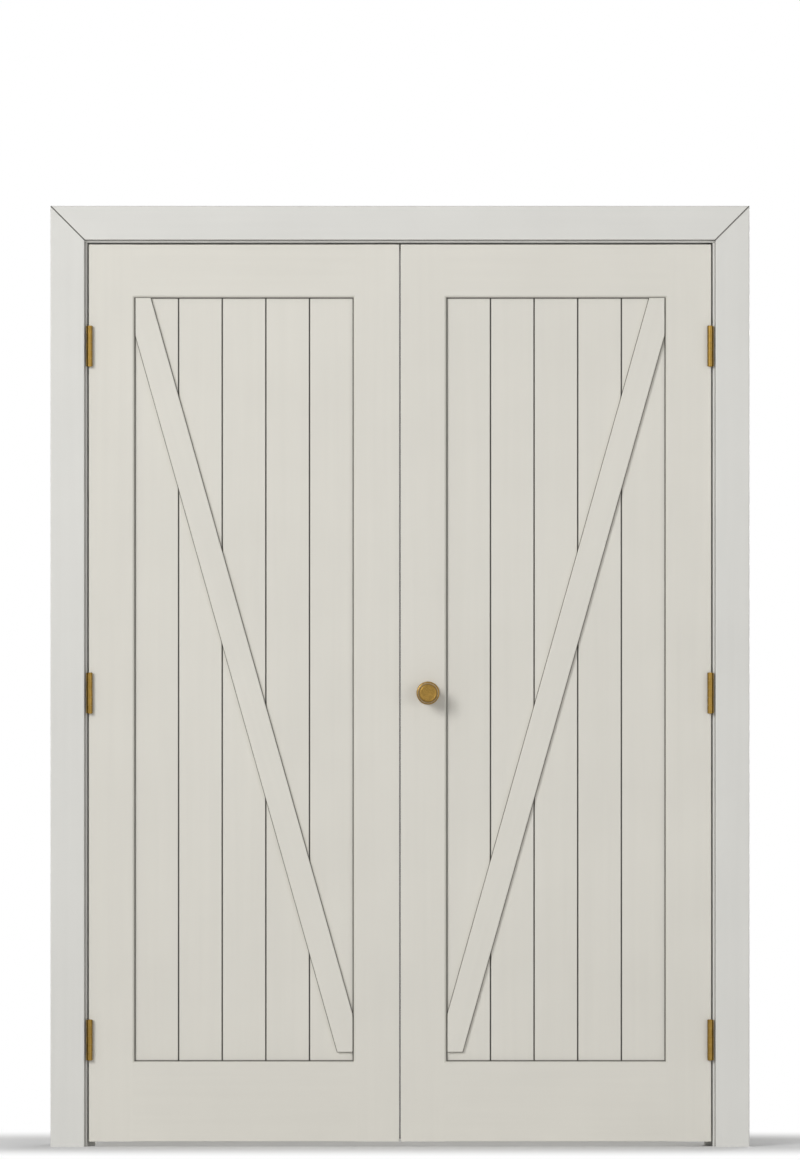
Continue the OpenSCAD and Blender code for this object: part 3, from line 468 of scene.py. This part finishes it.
def seal(side, finish):
    """Strip of pile on a meeting edge. At height z and angle t its section is half an ellipse:
    edge + inward reach (1 + share cos(2 pi z / tuft)) sin t, middle - width/2 cos t."""
    low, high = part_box(f"{side}_meeting_stile")
    edge = high.x if side == "left" else low.x
    reach = -edge - math.copysign(SEAL_MISS, -edge)
    reach_mid = reach / (1 + TUFT_SHARE)
    count = int((high.z - low.z - 2 * SEAL_END) / TUFT * TUFT_STEPS)
    z = np.linspace(low.z + SEAL_END, high.z - SEAL_END, count)
    t = np.linspace(0, math.pi, SEAL_STEPS)
    tuft = 1 + TUFT_SHARE * np.cos(2 * math.pi * z / TUFT)
    x = edge + reach_mid * tuft[:, None] * np.sin(t)
    y = np.broadcast_to(low.y + SEAL_SET_BACK + SEAL_W / 2 * (1 - np.cos(t)), x.shape)
    points = np.stack([x, y, np.broadcast_to(z[:, None], x.shape)], axis=-1)
    index = np.arange(x.size).reshape(x.shape)
    after = np.roll(index, -1, axis=1)
    quads = np.stack([index[:-1], after[:-1], after[1:], index[1:]], axis=-1).reshape(-1, 4).tolist()
    faces = [*quads, index[0][::-1].tolist(), index[-1].tolist()]
    if side == "right":
        faces = [face[::-1] for face in faces]
    mesh = bpy.data.meshes.new(f"{side}_meeting_seal")
    mesh.from_pydata(points.reshape(-1, 3).tolist(), [], faces)
    mesh.materials.append(finish)
    mesh.shade_smooth()
    mesh.set_sharp_from_angle(angle=SHARP)
    piece = bpy.data.objects.new(mesh.name, mesh)
    scene.collection.objects.link(piece)
    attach(piece, f"{side}_leaf")


shade_pile_finish = shade_pile()
for side in ("left", "right"):
    seal(side, shade_pile_finish)

# Studio: a pale floor, soft lamps, and white all round
FLOOR_R = 14.0
FLOOR_SHADE = 0.75
# The floor is matt up to FADE_START from FADE_CENTRE, each way, and fades to white over FADE_REACH
FADE_CENTRE = (0.0, 0.12, 0.0)
FADE_START = (0.6, 0.16, 0.0)
FADE_REACH = (1.1, 0.52, 1.0)
# Strength of the white all round as a light
AMBIENT = 0.3
# Each lamp's place, its side in metres and its power in watts
LAMPS = {
    "key": ((-5.5, -9.0, 5.0), 4.0, 695),
    "fill": ((6.0, -8.5, 1.0), 5.0, 215),
    "rear": ((3.5, 9.5, 2.2), 4.0, 600),
}
AIM = (0.0, 0.0, 1.0)


def seen_white(tree):
    """Factor that is 1 for what is seen, directly, in a reflection or through glass, and 0 for light."""
    path = add(tree, "ShaderNodeLightPath").outputs
    seen = path["Is Camera Ray"]
    for ray in ("Is Glossy Ray", "Is Transmission Ray"):
        seen = add(tree, "ShaderNodeMath", {0: seen, 1: path[ray]}, operation="MAXIMUM").outputs[0]
    return seen


def studio_floor():
    """Matt pale floor that keeps the door's shadow and fades to the white around it, with the distance
    |max(|p - centre| - start, 0) / reach|."""
    material, tree = empty_material("matt_studio_floor")
    place = add(tree, "ShaderNodeTexCoord").outputs["Object"]
    moved = add(tree, "ShaderNodeVectorMath", {0: place, 1: FADE_CENTRE}, operation="SUBTRACT").outputs[0]
    sides = add(tree, "ShaderNodeVectorMath", {0: moved}, operation="ABSOLUTE").outputs[0]
    past = add(tree, "ShaderNodeVectorMath", {0: sides, 1: FADE_START}, operation="SUBTRACT").outputs[0]
    past = add(tree, "ShaderNodeVectorMath", {0: past, 1: (0, 0, 0)}, operation="MAXIMUM").outputs[0]
    shaped = add(tree, "ShaderNodeVectorMath", {0: past, 1: FADE_REACH}, operation="DIVIDE").outputs[0]
    distance = add(tree, "ShaderNodeVectorMath", {0: shaped}, operation="LENGTH").outputs["Value"]
    far = add(tree, "ShaderNodeMapRange", {"Value": distance}, interpolation_type="SMOOTHSTEP").outputs[0]
    fade = add(tree, "ShaderNodeMath", {0: far, 1: seen_white(tree)}, operation="MULTIPLY").outputs[0]
    matt = add(tree, "ShaderNodeBsdfDiffuse", {"Color": linear(WHITE, FLOOR_SHADE)}).outputs[0]
    glow = add(tree, "ShaderNodeEmission", {"Color": linear(WHITE), "Strength": 1.0}).outputs[0]
    mixed = add(tree, "ShaderNodeMixShader", {0: fade, 1: matt, 2: glow}).outputs[0]
    add(tree, "ShaderNodeOutputMaterial", {"Surface": mixed})
    return material


corners = FLOOR_R * np.array([[-1, -1, 0], [1, -1, 0], [1, 1, 0], [-1, 1, 0]])
floor_mesh = bpy.data.meshes.new("floor")
floor_mesh.from_pydata(corners.tolist(), [], [(0, 1, 2, 3)])
floor_mesh.materials.append(studio_floor())
floor = bpy.data.objects.new("floor", floor_mesh)
scene.collection.objects.link(floor)

world = bpy.data.worlds.new("white_studio")
world.use_nodes = True
scene.world = world
air = world.node_tree
air.nodes.clear()
level = add(air, "ShaderNodeMapRange", {"Value": seen_white(air), "To Min": AMBIENT}).outputs[0]
sky = add(air, "ShaderNodeBackground", {"Color": linear(WHITE), "Strength": level}).outputs[0]
add(air, "ShaderNodeOutputWorld", {"Surface": sky})


def look_at(target, start):
    """Turn that points an object's -Z from start to target, with its Y up."""
    return (Vector(target) - Vector(start)).to_track_quat("-Z", "Y").to_euler()


for name, (start, size, power) in LAMPS.items():
    lamp = bpy.data.lights.new(name, "AREA")
    lamp.size = size
    lamp.energy = power
    holder = bpy.data.objects.new(name, lamp)
    holder.location = start
    holder.rotation_euler = look_at(AIM, start)
    scene.collection.objects.link(holder)

# Camera: square on to the door, far away behind a long lens. The frame is PHOTO_H pixels of PIXEL each
# high at the leaves' faces, and the floor is on FLOOR_ROW. LENS and SENSOR are in mm, and the sensor's
# width goes with the frame's longer side, which is its height.
PHOTO_H = 1160
PIXEL = 2.2085 * MM
FLOOR_ROW = 1146.5
LENS = 400
SENSOR = 36
eye_z = (FLOOR_ROW - PHOTO_H / 2) * PIXEL
face_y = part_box("left_top_rail")[0].y
camera = bpy.data.cameras.new("camera")
camera.lens = LENS
camera.sensor_width = SENSOR
viewpoint = bpy.data.objects.new("camera", camera)
viewpoint.location = (0, face_y - PHOTO_H * PIXEL * LENS / SENSOR, eye_z)
viewpoint.rotation_euler = (LEVEL, 0, 0)
scene.collection.objects.link(viewpoint)
scene.camera = viewpoint
scene.view_settings.view_transform = "Standard"
